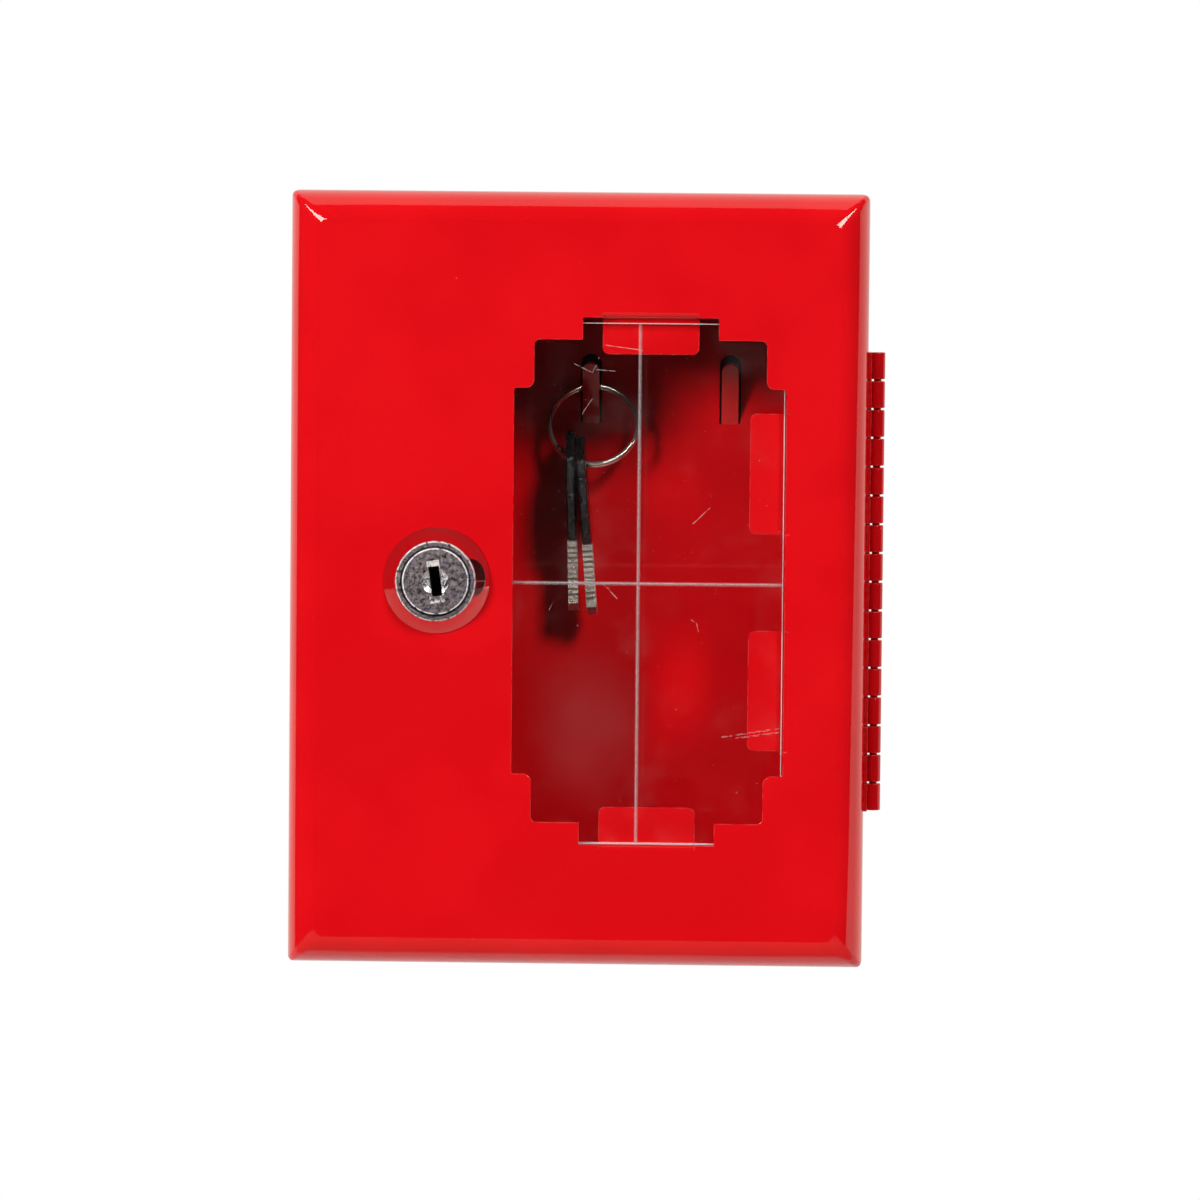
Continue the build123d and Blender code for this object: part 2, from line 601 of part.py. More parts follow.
def make_wafer_springs():
    """Five coil springs, one under the ear of each wafer."""
    springs = []
    ear_mid = WAFER_W / 2 + EAR_REACH / 2 + 0.05
    for index in range(WAFERS):
        path = Helix(pitch=SPRING_LONG / 6, height=SPRING_LONG, radius=SPRING_R)
        start = Plane(origin=path @ 0, z_dir=path % 0)
        coil = sweep(start * Circle(SPRING_WIRE_R), path=path, is_frenet=True)
        coil = Pos(ear_mid, wafer_y(index), EAR_Z - SPRING_LONG - 0.2) * coil
        springs.append(Pos(LOCK_X, 0, 0) * Rot(0, SLOT_TILT, 0) * coil)
    return Compound(children=springs)


def square_hole():
    """Hole that fits the plug's square stub."""
    return Rectangle(STUB + 0.1, STUB + 0.1)


def make_stop_washer():
    """Washer on the stub whose tab stops against the two lugs of the housing."""
    washer = Circle(STOP_R) + (Circle(STOP_TAB_R) & sector(-14, 14, 2 * STOP_TAB_R))
    washer -= square_hole()
    return Pos(LOCK_X, 0, 0) * slab(washer, STOP_FRONT, STOP_FRONT + STOP_T)


def make_cam():
    """Locking lever, hanging down when the door is free."""
    plate = Circle(CAM_HEAD_R) + Pos(0, -CAM_REACH / 2) * Rectangle(CAM_WIDE, CAM_REACH)
    plate = fillet(plate.vertices().group_by(Axis.Y)[0], CAM_END_R)
    plate -= square_hole()
    return Pos(LOCK_X, 0, 0) * slab(plate, CAM_FRONT, CAM_REAR)


def make_spring_washer():
    """Split spring washer under the screw head."""
    washer = ring_y(SPLIT_WASHER_R, SCREW_R + 0.15, CAM_REAR, CAM_REAR + SPLIT_WASHER_T)
    washer -= Rot(0, 20, 0) * box(-0.3, 0.3, CAM_REAR - 1, CAM_REAR + 2 * SPLIT_WASHER_T,
                                  1, SPLIT_WASHER_R + 1)
    return Pos(LOCK_X, 0, 0) * washer


def make_cam_screw():
    """Cross-recessed screw that holds the cam on the plug."""
    seat = CAM_REAR + SPLIT_WASHER_T
    head = slab(Circle(SCREW_HEAD_R), seat, seat + SCREW_HEAD_T)
    head = fillet(head.faces().sort_by(Axis.Y)[-1].edges(), SCREW_HEAD_T / 3)
    cross = Rectangle(SCREW_CROSS_W, 2 * SCREW_CROSS) + Rectangle(2 * SCREW_CROSS, SCREW_CROSS_W)
    head -= slab(cross, seat + 0.4 * SCREW_HEAD_T, seat + SCREW_HEAD_T + 1)
    shank = slab(Circle(SCREW_R), BODY_REAR - 0.7, seat + 0.5)
    return Pos(LOCK_X, 0, 0) * (head + shank)


def make_lock_washer():
    """Toothed washer between the nut and the door sheet."""
    ring = Circle(TOOTH_WASHER_R) - Circle(BODY_R + BODY_AIR)
    for index in range(20):
        ring += Rot(0, 0, 18 * index) * Pos(TOOTH_WASHER_R + 0.15, 0) * Rectangle(TOOTH, 1.5)
    y = DOOR_FRONT + SHEET
    return Pos(LOCK_X, 0, 0) * slab(ring, y, y + TOOTH_WASHER_T)


def make_lock_nut():
    """Thin hexagon nut; its flat also keeps the pane from sliding out sideways."""
    hexagon = RegularPolygon(NUT_FLATS / 2, 6, major_radius=False, rotation=30)
    nut = slab(hexagon, NUT_FRONT, NUT_FRONT + NUT_T)
    crown = slab(Circle(NUT_FLATS / 2 + NUT_CROWN), NUT_FRONT, NUT_FRONT + NUT_T)
    crown = chamfer(crown.faces().sort_by(Axis.Y)[-1].edges(), NUT_CROWN)
    nut &= crown
    nut -= slab(Circle(BODY_R + 0.03), NUT_FRONT - 1, NUT_FRONT + NUT_T + 1)
    return Pos(LOCK_X, 0, 0) * nut


# ---- key ring and keys --------------------------------------------------------------
def ring_place():
    """Stands the ring up behind its hook and tips its lower edge forward."""
    hang = Pos(RING_X, RING_HANG_Y, RING_HANG_Z)
    return hang * Rot(-RING_TILT, 0, 0) * Pos(0, 0, -RING_R) * Rot(90, 0, 0)


def ring_level(turn):
    """Height of the middle of the wire pair above the ring's own middle plane."""
    return RING_PITCH * (turn - 0.25)


def make_key_ring():
    """Split ring: nearly two turns of round wire."""
    height = RING_PITCH * RING_TURNS
    path = Helix(pitch=RING_PITCH, height=height, radius=RING_R)
    start = Plane(origin=path @ 0, z_dir=path % 0)
    wire = sweep(start * Circle(RING_WIRE_R), path=path, is_frenet=True)
    # the pair of wires is level with the middle plane at the hook, a quarter turn on
    return ring_place() * Pos(0, 0, -0.75 * RING_PITCH) * wire


def key_pivot(x):
    """Where the key at x hangs on the lower part of the ring."""
    angle = 270 - math.degrees(math.asin((RING_X - x) / RING_R))
    a = math.radians(angle)
    spot = ring_place() * Pos(RING_R * math.cos(a), RING_R * math.sin(a), ring_level(angle / 360))
    return spot.position


def key_place(x, lean):
    """Puts a key, drawn in Y and Z round its pivot, onto the ring."""
    pivot = key_pivot(x)
    return Pos(pivot.X, pivot.Y, pivot.Z - KEY_HOLE_DROP) * Rot(0, -lean, 0)


def cut_line(side, cuts, z_first):
    """Points down one edge of a blade, stepping in at each cut."""
    half = KEY_WIDE / 2
    points = []
    for index, deep in enumerate(cuts):
        z = z_first - WAFER_PITCH * index
        points += [(side * half, z + 0.8), (side * (half - deep), z + 0.3),
                   (side * (half - deep), z - 0.3), (side * half, z - 0.8)]
    return points


def make_key_blade(x, lean):
    """Nickel blade with cuts on both edges, a groove in each side and a tang."""
    half = KEY_WIDE / 2
    top = BOW_FOOT - 0.05
    tip = top - KEY_LONG
    points = [(-half, top), (half, top)]
    points += cut_line(1, KEY_CUTS_FRONT, top - KEY_CUT_FROM)
    points += [(half, tip + KEY_TIP), (KEY_TIP_W / 2, tip), (-KEY_TIP_W / 2, tip),
               (-half, tip + KEY_TIP)]
    points += reversed(cut_line(-1, KEY_CUTS_REAR, top - KEY_CUT_FROM))
    blade = extrude(Plane.YZ.offset(-KEY_T / 2) * poly(points), amount=KEY_T)
    blade += box(-TANG_T / 2, TANG_T / 2, -TANG_W / 2, TANG_W / 2, top - 0.4, TANG_TOP)
    for sx in (-1, 1):
        out = sx * KEY_T / 2
        blade -= box(out - KEY_GROOVE_DEEP, out + KEY_GROOVE_DEEP, -0.4, 0.9, tip - 1, top - 0.9)
    return key_place(x, lean) * blade


def make_key_bow(x, lean):
    """Black moulded head of a key, with the ring hole near its top."""
    quarter = [(BOW_TOP_W / 2, BOW_TOP), (BOW_WIDE / 2, BOW_TOP - BOW_SHOULDER),
               (BOW_WIDE / 2, BOW_WAIST), (BOW_FOOT_W / 2, BOW_FOOT)]
    points = quarter + [(-y, z) for y, z in reversed(quarter)]
    outline = fillet(poly(points).vertices(), BOW_R)
    outline -= Circle(KEY_HOLE_R)
    bow = extrude(Plane.YZ.offset(-BOW_T / 2) * outline, amount=BOW_T)
    rims = bow.faces().filter_by(Axis.X)
    bow = chamfer(rims.edges(), BOW_EDGE)
    half_t = TANG_T / 2 + TANG_AIR
    half_w = TANG_W / 2 + TANG_AIR
    bow -= box(-half_t, half_t, -half_w, half_w, BOW_FOOT - 1.5, TANG_TOP + TANG_AIR)
    return key_place(x, lean) * bow


os.makedirs("parts", exist_ok=True)
save("case_wrap", make_case_wrap())
save("back_panel", make_back_panel())
save("hinge_leaf_case", make_leaf_case())
save("hinge_leaf_door", make_leaf_door())
save("hinge_pin", make_pin())
save("door_panel", make_door_panel())
save("window_pane", make_pane())
save("lock_housing", make_housing())
save("lock_washer", make_lock_washer())
save("lock_nut", make_lock_nut())
save("lock_plug", make_plug())
save("plug_face_cap", make_cap())
save("wafers", make_wafers())
save("wafer_springs", make_wafer_springs())
save("stop_washer", make_stop_washer())
save("cam", make_cam())
save("spring_washer", make_spring_washer())
save("cam_screw", make_cam_screw())
save("key_ring", make_key_ring())
for number in (1, 2):
    key_x = RING_X + KEY_SIDE[number - 1]
    lean = KEY_LEAN[number - 1]
    save("key_%d_blade" % number, make_key_blade(key_x, lean))
    save("key_%d_bow" % number, make_key_bow(key_x, lean))
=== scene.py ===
import bpy
import math
from mathutils import Matrix, Vector


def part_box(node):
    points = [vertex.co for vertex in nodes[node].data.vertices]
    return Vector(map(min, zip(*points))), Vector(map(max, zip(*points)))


# Looks of the break glass key box: gloss red sheet steel, scored acrylic pane,
# chromed lock, nickel keys with black heads.  Metres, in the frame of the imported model.

MM = 0.001
LOCK_X = -29.0 * MM
WINDOW_X = 14.9 * MM
SLOT_TILT = math.radians(-8)
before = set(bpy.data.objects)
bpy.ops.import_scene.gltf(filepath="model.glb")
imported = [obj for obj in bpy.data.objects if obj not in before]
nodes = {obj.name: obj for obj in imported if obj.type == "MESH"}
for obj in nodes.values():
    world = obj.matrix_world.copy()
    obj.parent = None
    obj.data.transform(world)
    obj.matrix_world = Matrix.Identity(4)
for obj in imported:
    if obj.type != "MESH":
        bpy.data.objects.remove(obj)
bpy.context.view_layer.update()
scene = bpy.context.scene
scene.view_settings.view_transform = "Standard"


# ---- node helpers -------------------------------------------------------------------
class Tree:
    """The node tree of a material or a world, with short calls for the nodes used here."""

    def __init__(self, name, world=False):
        self.owner = (bpy.data.worlds if world else bpy.data.materials).new(name)
        self.owner.use_nodes = True
        self.output = "ShaderNodeOutputWorld" if world else "ShaderNodeOutputMaterial"
        self.tree = self.owner.node_tree
        self.tree.nodes.clear()
        self.coords = self.node("ShaderNodeTexCoord").outputs
        self.place = self.coords["Object"]
        self.facing = self.coords["Normal"]

    def node(self, kind, **values):
        made = self.tree.nodes.new(kind)
        for key, value in values.items():
            setattr(made, key, value)
        return made

    def put(self, value, socket):
        """Links an output, or writes a constant, into a socket."""
        if isinstance(value, bpy.types.NodeSocket):
            self.tree.links.new(value, socket)
        else:
            socket.default_value = value

    def math(self, operation, a, b=0.0, c=0.0):
        made = self.node("ShaderNodeMath", operation=operation)
        for index, value in enumerate((a, b, c)):
            self.put(value, made.inputs[index])
        return made.outputs[0]

    def product(self, *values):
        """All values multiplied: of masks, where every one holds."""
        result = values[0]
        for value in values[1:]:
            result = self.math("MULTIPLY", result, value)
        return result

    def largest(self, *values):
        """The largest value: of masks, where any one holds."""
        result = values[0]
        for value in values[1:]:
            result = self.math("MAXIMUM", result, value)
        return result

    def vector(self, operation, first, second):
        """Outputs of a vector node: 0 is its vector, Value its number."""
        made = self.node("ShaderNodeVectorMath", operation=operation)
        self.put(first, made.inputs[0])
        self.put(second, made.inputs[1])
        return made.outputs

    def split(self, vector):
        made = self.node("ShaderNodeSeparateXYZ")
        self.put(vector, made.inputs[0])
        return made.outputs

    def stretch(self, factors):
        """Object coordinates multiplied along each axis."""
        return self.vector("MULTIPLY", self.place, factors)[0]

    def noise(self, size, detail=3.0, rough=0.55, vector=None):
        """Noise whose blobs are about size metres across."""
        made = self.node("ShaderNodeTexNoise")
        self.put(vector or self.place, made.inputs["Vector"])
        made.inputs["Scale"].default_value = 1.0 / size
        made.inputs["Detail"].default_value = detail
        made.inputs["Roughness"].default_value = rough
        return made.outputs["Fac"]

    def cells(self, size):
        """Distance and cell colour of points scattered about size metres apart."""
        made = self.node("ShaderNodeTexVoronoi", feature="F1")
        self.put(self.place, made.inputs["Vector"])
        made.inputs["Scale"].default_value = 1.0 / size
        return made.outputs

    def ramp(self, value, low, high):
        """0 below low, 1 above high, smooth between them."""
        made = self.node("ShaderNodeMapRange", interpolation_type="SMOOTHSTEP")
        self.put(value, made.inputs["Value"])
        made.inputs["From Min"].default_value = low
        made.inputs["From Max"].default_value = high
        return made.outputs["Result"]

    def mix(self, share, first, second):
        made = self.node("ShaderNodeMix", data_type="RGBA")
        self.put(share, made.inputs[0])
        self.put(first, made.inputs[6])
        self.put(second, made.inputs[7])
        return made.outputs[2]

    def between(self, share, low, high):
        """A number that goes from low to high with share."""
        return self.math("MULTIPLY_ADD", share, high - low, low)

    def specks(self, size, radius, share):
        """Small round dots: one per cell of size metres, kept in a share of the cells."""
        cell = self.cells(size)
        dot = self.math("LESS_THAN", cell["Distance"], radius / size)
        pick = self.split(cell["Color"])
        return self.math("MULTIPLY", dot, self.math("LESS_THAN", pick[0], share))

    def line(self, start, end, half_width):
        """1 along a straight scratch between two (x, z) points in millimetres."""
        run = Vector((end[0] - start[0], 0.0, end[1] - start[1])) * MM
        way = run.normalized()
        middle = Vector((start[0] + end[0], 0.0, start[1] + end[1])) * MM / 2
        across = Vector((way.z, 0.0, -way.x))
        mask = None
        for axis, reach in ((way, run.length / 2), (across, half_width)):
            along = self.vector("DOT_PRODUCT", self.place, axis)["Value"]
            near = self.math("COMPARE", along, axis.dot(middle), reach)
            mask = near if mask is None else self.math("MULTIPLY", mask, near)
        return mask

    def bump(self, height, distance, normal=None):
        made = self.node("ShaderNodeBump")
        self.put(height, made.inputs["Height"])
        made.inputs["Distance"].default_value = distance
        if normal is not None:
            self.put(normal, made.inputs["Normal"])
        return made.outputs["Normal"]

    def soft_edges(self, radius):
        """Normals rounded over sharp edges."""
        made = self.node("ShaderNodeBevel", samples=6)
        made.inputs["Radius"].default_value = radius
        return made.outputs["Normal"]

    def edge_wear_and_glint(self, radius):
        """1 where a sharp edge rounds away, broken up by noise."""
        flat = self.node("ShaderNodeNewGeometry").outputs["Normal"]
        agree = self.vector("DOT_PRODUCT", flat, self.soft_edges(radius))["Value"]
        turned = self.ramp(agree, 0.97, 0.86)
        return self.math("MULTIPLY", turned, self.ramp(self.noise(1.4 * MM, 3.0), 0.42, 0.55))

    def surface(self, **values):
        made = self.node("ShaderNodeBsdfPrincipled")
        for key, value in values.items():
            self.put(value, made.inputs[key.replace("_", " ")])
        return made.outputs[0]

    def glow(self, strength, colour=(1.0, 1.0, 1.0, 1.0)):
        made = self.node("ShaderNodeEmission")
        self.put(strength, made.inputs["Strength"])
        self.put(colour, made.inputs["Color"])
        return made.outputs[0]

    def blend(self, share, first, second):
        """Two shaders mixed: share of the second one."""
        made = self.node("ShaderNodeMixShader")
        for index, value in enumerate((share, first, second)):
            self.put(value, made.inputs[index])
        return made.outputs[0]

    def looked_at(self):
        """1 for the camera's rays, mirrored and passed on ones too, 0 for scattered light."""
        path = self.node("ShaderNodeLightPath").outputs
        return self.largest(path["Is Camera Ray"], path["Is Glossy Ray"],
                            path["Is Transmission Ray"])

    def finish(self, shader):
        """Links the shader to the output and gives back the material or the world."""
        self.put(shader, self.node(self.output).inputs["Surface"])
        return self.owner


def rgb(red, green, blue):
    """Linear colour from 0-255 screen values."""
    def linear(value):
        value = value / 255
        return value / 12.92 if value < 0.04045 else ((value + 0.055) / 1.055) ** 2.4
    return (linear(red), linear(green), linear(blue), 1.0)


# ---- materials ----------------------------------------------------------------------
# hairline scratches in the pane: start and end of each, x and z in millimetres
SCRATCHES = (((30.3, -32.1), (42.2, -30.2)), ((33.2, -32.3), (42.2, -31.0)),
             ((-0.9, 45.0), (2.8, 43.2)), ((2.8, 43.2), (3.7, 44.8)), ((3.7, 43.8), (8.2, 43.5)),
             ((0.8, 34.6), (2.2, 36.9)), ((1.6, 35.9), (3.0, 38.0)), ((5.5, 48.9), (13.2, 47.9)),
             ((23.7, -7.7), (24.9, -8.6)), ((24.9, -8.6), (25.3, -10.2)),
             ((-6.1, -6.9), (-4.8, -4.2)), ((5.3, -0.3), (8.4, -3.6)), ((23.9, 12.1), (27.4, 15.4)))


# middle of the box's depth, from which faces turned inward get painted shade, and the zone round
# the window where the pane's tabs show and are kept out of that shade
INSIDE_Y = -20 * MM
TABS_HALF_X = 31 * MM
TABS_HALF_Z = 58 * MM
TABS_Y = -33 * MM


def red_paint(name, edge_radius=0.28 * MM, dusty=1.0, painted_inside_shade=False, tone=1.0):
    """Gloss red powder paint with faint orange peel, dust specks and painted highlights on edges;
    on request painted shade on faces turned into the box, and a tone that scales the colour.
    """
    t = Tree(name)
    cloud = t.noise(28 * MM, 2.0)
    grain = t.noise(0.9 * MM, 2.0)
    colour = t.mix(t.ramp(cloud, 0.35, 0.65), rgb(222 * tone, 10 * tone, 20 * tone),
                   rgb(230 * tone, 14 * tone, 22 * tone))
    colour = t.mix(t.math("MULTIPLY", grain, 0.12), colour, rgb(205 * tone, 7, 16))
    if painted_inside_shade:
        # painted shade: faces turned to the middle of the box are painted darker
        from_middle = t.vector("SUBTRACT", t.place, (0.0, INSIDE_Y, 0.0))[0]
        outward = t.vector("DOT_PRODUCT", from_middle, t.facing)["Value"]
        inside_shade = t.math("LESS_THAN", outward, 0.0)
        # but the tabs that hold the pane are kept out of the painted shade where they show through
        # the window
        x, y, z = t.split(t.place)
        tabs = t.product(t.math("COMPARE", x, WINDOW_X, TABS_HALF_X),
                         t.math("COMPARE", z, 0.0, TABS_HALF_Z),
                         t.math("LESS_THAN", y, TABS_Y),
                         t.math("LESS_THAN", t.split(t.facing)[1], 0.5))
        inside_shade = t.math("MULTIPLY", inside_shade, t.math("SUBTRACT", 1.0, tabs))
        colour = t.mix(inside_shade, colour, t.mix(grain, rgb(112, 5, 10), rgb(126, 7, 12)))
    # painted highlight: sharp edges lightened to pale pink, standing in for glints on rounded edges
    edge_glint = t.math("MULTIPLY", t.edge_wear_and_glint(0.3 * MM), 0.3)
    colour = t.mix(edge_glint, colour, rgb(240, 150, 138))
    dust = t.specks(5.2 * MM, 0.11 * MM, 0.16 * dusty)
    fine = t.specks(2.1 * MM, 0.05 * MM, 0.10 * dusty)
    specks = t.math("MAXIMUM", dust, fine)
    colour = t.mix(t.math("MULTIPLY", specks, 0.55), colour, rgb(236, 150, 140))
    rough = t.between(t.noise(6 * MM, 3.0), 0.03, 0.06)
    rough = t.math("MAXIMUM", rough, t.math("MULTIPLY", specks, 0.5))
    peel = t.noise(1.6 * MM, 1.0, 0.4)
    wave = t.noise(9 * MM, 1.0, 0.4)
    height = t.math("MULTIPLY_ADD", wave, 2.0, peel)
    normal = t.bump(height, 0.002 * MM, t.soft_edges(edge_radius))
    shader = t.surface(Base_Color=colour, Roughness=rough, Normal=normal, Coat_Weight=0.1,
                       Coat_Roughness=0.02, IOR=1.5, Specular_Tint=(1.0, 0.88, 0.78, 1.0))
    return t.finish(shader)


def chrome(name, tone, rough_low, rough_high, edge_radius=0.1 * MM, metal=1.0,
           painted_edge_highlight=False):
    """Bright plated metal with fine polishing marks and a little haze."""
    t = Tree(name)
    haze = t.noise(3.5 * MM, 4.0)
    marks = t.noise(0.35 * MM, 2.0, 0.6, t.stretch((1.0, 0.15, 1.0)))
    colour = t.mix(t.math("MULTIPLY", haze, 0.35), tone, rgb(140, 136, 140))
    rough = t.between(haze, rough_low, rough_high)
    if painted_edge_highlight:
        # painted highlight: edges painted near white and made less metallic so they scatter lamp
        # light; the flats between them mirror the room
        edges = t.edge_wear_and_glint(0.3 * MM)
        colour = t.mix(edges, colour, rgb(250, 244, 234))
        metal = t.math("MULTIPLY_ADD", edges, -metal, metal)
    normal = t.bump(marks, 0.0012 * MM, t.soft_edges(edge_radius))
    shader = t.surface(Base_Color=colour, Roughness=rough, Metallic=metal, Normal=normal)
    return t.finish(shader)


# radii on the lock's face: satin up to the flare, mirror dish round the slot, the gap round the
# rotor painted dark as shade, and the two turned edges painted bright as highlights
SATIN_R = 8.3 * MM
SATIN_END_R = 8.45 * MM
DISH_R = 2.75 * MM
DISH_END_R = 2.85 * MM
GAP_R = 7.12 * MM
GAP_HALF = 0.17 * MM
ROTOR_EDGE_R = 6.74 * MM
RIM_EDGE_R = 8.16 * MM
TURNED_HALF = 0.15 * MM
# lead-in notch above the slot and chips below it, painted bright as highlights, the chips also as
# wear: half width, middle height, half height
NOTCH = (1.3 * MM, 3.5 * MM, 0.85 * MM)
CHIPS = (1.6 * MM, -3.6 * MM, 0.9 * MM)


def lock_chrome(name, face_y):
    """Mirror chrome on the flared head; the flat rim and the rotor face are worn satin, with
    painted shade in the gap round the rotor and painted highlights on the turned edges, the notch,
    the chips and patches in the dish.
    """
    t = Tree(name)
    x, y, z = t.split(t.place)
    off = t.math("SUBTRACT", x, LOCK_X)
    radius = t.math("SQRT", t.math("ADD", t.math("MULTIPLY", off, off), t.math("MULTIPLY", z, z)))
    front = t.math("LESS_THAN", y, face_y)
    inside = t.math("MULTIPLY", t.ramp(radius, SATIN_END_R, SATIN_R), front)
    dish = t.ramp(radius, DISH_END_R, DISH_R)
    satin = t.math("MULTIPLY", inside, t.math("SUBTRACT", 1.0, dish))
    blotch = t.noise(0.8 * MM, 8.0, 0.8)
    tint = t.noise(2.6 * MM, 2.0)
    worn = t.mix(t.ramp(blotch, 0.38, 0.62), rgb(40, 34, 37), rgb(158, 146, 148))
    worn = t.mix(t.math("MULTIPLY", t.ramp(tint, 0.52, 0.70), 0.45), worn, rgb(112, 98, 128))
    pits = t.specks(0.42 * MM, 0.06 * MM, 0.35)
    worn = t.mix(pits, worn, rgb(36, 32, 36))
    # painted shade in the gap round the rotor, painted highlights on the turned edges beside it and
    # round the rim
    gap_shade = t.math("COMPARE", radius, GAP_R, GAP_HALF)
    edges = t.largest(t.math("COMPARE", radius, ROTOR_EDGE_R, TURNED_HALF),
                      t.math("COMPARE", radius, RIM_EDGE_R, TURNED_HALF))
    edges = t.math("MULTIPLY", edges, t.ramp(t.noise(0.8 * MM, 3.0), 0.34, 0.50))
    worn = t.mix(edges, worn, rgb(246, 240, 238))
    worn = t.mix(t.math("MULTIPLY", gap_shade, 0.85), worn, rgb(20, 16, 18))
    # the notch and the chips lie along the tilted slot and get painted highlights
    cos, sin = math.cos(SLOT_TILT), math.sin(SLOT_TILT)
    turn_x = t.math("MULTIPLY_ADD", off, cos, t.math("MULTIPLY", z, -sin))
    turn_z = t.math("MULTIPLY_ADD", off, sin, t.math("MULTIPLY", z, cos))
    notch, chips = [t.product(t.math("COMPARE", turn_x, 0.0, half_x),
                              t.math("COMPARE", turn_z, middle_z, half_z))
                    for half_x, middle_z, half_z in (NOTCH, CHIPS)]
    chips = t.math("MULTIPLY", chips, t.ramp(t.noise(0.6 * MM, 3.0), 0.48, 0.58))
    bright = t.math("MAXIMUM", notch, chips)
    worn = t.mix(t.math("MULTIPLY", bright, t.ramp(blotch, 0.35, 0.5)), worn, rgb(236, 232, 228))
    colour = t.mix(satin, rgb(226, 222, 224), worn)
    grain = t.noise(0.3 * MM, 3.0)
    haze = t.noise(3.0 * MM, 3.0)
    mirror_rough = t.math("ADD", t.between(haze, 0.02, 0.06), t.math("MULTIPLY", dish, 0.18))
    satin_rough = t.math("ADD", t.between(blotch, 0.26, 0.46), t.math("MULTIPLY", edges, 0.1))
    rough = t.math("ADD", t.math("MULTIPLY", satin, satin_rough),
                   t.math("MULTIPLY", t.math("SUBTRACT", 1.0, satin), mirror_rough))
    height = t.math("MULTIPLY", t.math("MULTIPLY_ADD", pits, -1.0, grain), satin)
    normal = t.bump(height, 0.02 * MM, t.soft_edges(0.08 * MM))
    # less metallic places scatter lamp light: scuffs on the satin, and painted highlights on the
    # turned edges, the notch, the chips and patches in the dish; the rest mirrors
    scuff_and_glint = t.math("MAXIMUM", t.math("MULTIPLY", edges, 0.9), t.math("MULTIPLY", bright, 0.7))
    scuff_and_glint = t.math("MAXIMUM", scuff_and_glint, t.between(t.ramp(blotch, 0.52, 0.66), 0.05, 0.22))
    scuff_and_glint = t.math("MULTIPLY", scuff_and_glint, satin)
    # painted highlight: near white, less metallic patches in the dish round the slot
    dish_glint = t.math("MULTIPLY", dish, t.ramp(t.noise(0.7 * MM, 4.0, 0.7), 0.50, 0.60))
    scuff_and_glint = t.math("MAXIMUM", scuff_and_glint, t.math("MULTIPLY", dish_glint, front))
    metal = t.math("SUBTRACT", 1.0, t.math("MULTIPLY", scuff_and_glint, 0.9))
    shader = t.surface(Base_Color=colour, Roughness=rough, Metallic=metal, Normal=normal)
    return t.finish(shader)


def zinc(name, tone, spangle=2.2 * MM):
    """Zinc-plated steel: cloudy bluish grey with soft spangle and tool marks."""
    t = Tree(name)
    cell = t.split(t.cells(spangle)["Color"])
    cloud = t.noise(1.8 * MM, 4.0)
    colour = t.mix(t.between(cell[0], 0.0, 0.35), tone, rgb(150, 152, 160))
    colour = t.mix(t.math("MULTIPLY", cloud, 0.3), colour, rgb(205, 203, 190))
    rough = t.between(cloud, 0.24, 0.45)
    scratch = t.noise(0.25 * MM, 2.0, 0.6, t.stretch((0.2, 1.0, 1.0)))
    normal = t.bump(scratch, 0.004 * MM, t.soft_edges(0.15 * MM))
    shader = t.surface(Base_Color=colour, Roughness=rough, Metallic=1.0, Normal=normal)
    return t.finish(shader)


def brass(name):
    """Sawn brass wafers, dull yellow with darker grain."""
    t = Tree(name)
    cloud = t.noise(0.8 * MM, 4.0)
    lines = t.noise(0.12 * MM, 2.0, 0.6, t.stretch((1.0, 0.2, 0.2)))
    colour = t.mix(cloud, rgb(216, 176, 96), rgb(170, 128, 60))
    rough = t.between(cloud, 0.25, 0.42)
    normal = t.bump(lines, 0.004 * MM, t.soft_edges(0.08 * MM))
    shader = t.surface(Base_Color=colour, Roughness=rough, Metallic=1.0, Normal=normal)
    return t.finish(shader)


def core(name):
    """Die-cast lock core, dark grey and slightly porous."""
    t = Tree(name)
    cloud = t.noise(1.0 * MM, 4.0)
    pores = t.specks(0.5 * MM, 0.06 * MM, 0.35)
    colour = t.mix(cloud, rgb(96, 92, 92), rgb(60, 57, 58))
    colour = t.mix(pores, colour, rgb(24, 22, 22))
    rough = t.between(cloud, 0.35, 0.55)
    normal = t.bump(cloud, 0.02 * MM, t.soft_edges(0.1 * MM))
    shader = t.surface(Base_Color=colour, Roughness=rough, Metallic=0.9, Normal=normal)
    return t.finish(shader)


def black_plastic(name):
    """Moulded black key heads with a fine spark-eroded grain and rubbed edges."""
    t = Tree(name)
    cloud = t.noise(4 * MM, 3.0)
    grain = t.noise(0.22 * MM, 2.0, 0.6)
    colour = t.mix(cloud, rgb(8, 8, 9), rgb(16, 15, 16))
    rub = t.math("MULTIPLY", t.ramp(t.noise(0.7 * MM, 3.0), 0.60, 0.72), 0.35)
    rub = t.math("MAXIMUM", rub, t.math("MULTIPLY", t.edge_wear_and_glint(0.2 * MM), 0.4))
    colour = t.mix(rub, colour, rgb(150, 140, 138))
    rough = t.between(cloud, 0.22, 0.34)
    normal = t.bump(grain, 0.012 * MM, t.soft_edges(0.2 * MM))
    shader = t.surface(Base_Color=colour, Roughness=rough, Normal=normal, IOR=1.52)
    return t.finish(shader)


GROOVE_HALF = 0.405 * MM     # scored cross: half width, its deep middle, and its depth
GROOVE_CORE = 0.25 * MM
GROOVE_DEEP = 0.52 * MM
SAWN_EDGE = 0.15 * MM        # bright rim of the pane
HAIR_HALF = 0.035 * MM       # half width of a scratch
MILKY_AT = (3 * MM, 0.0, -21 * MM)


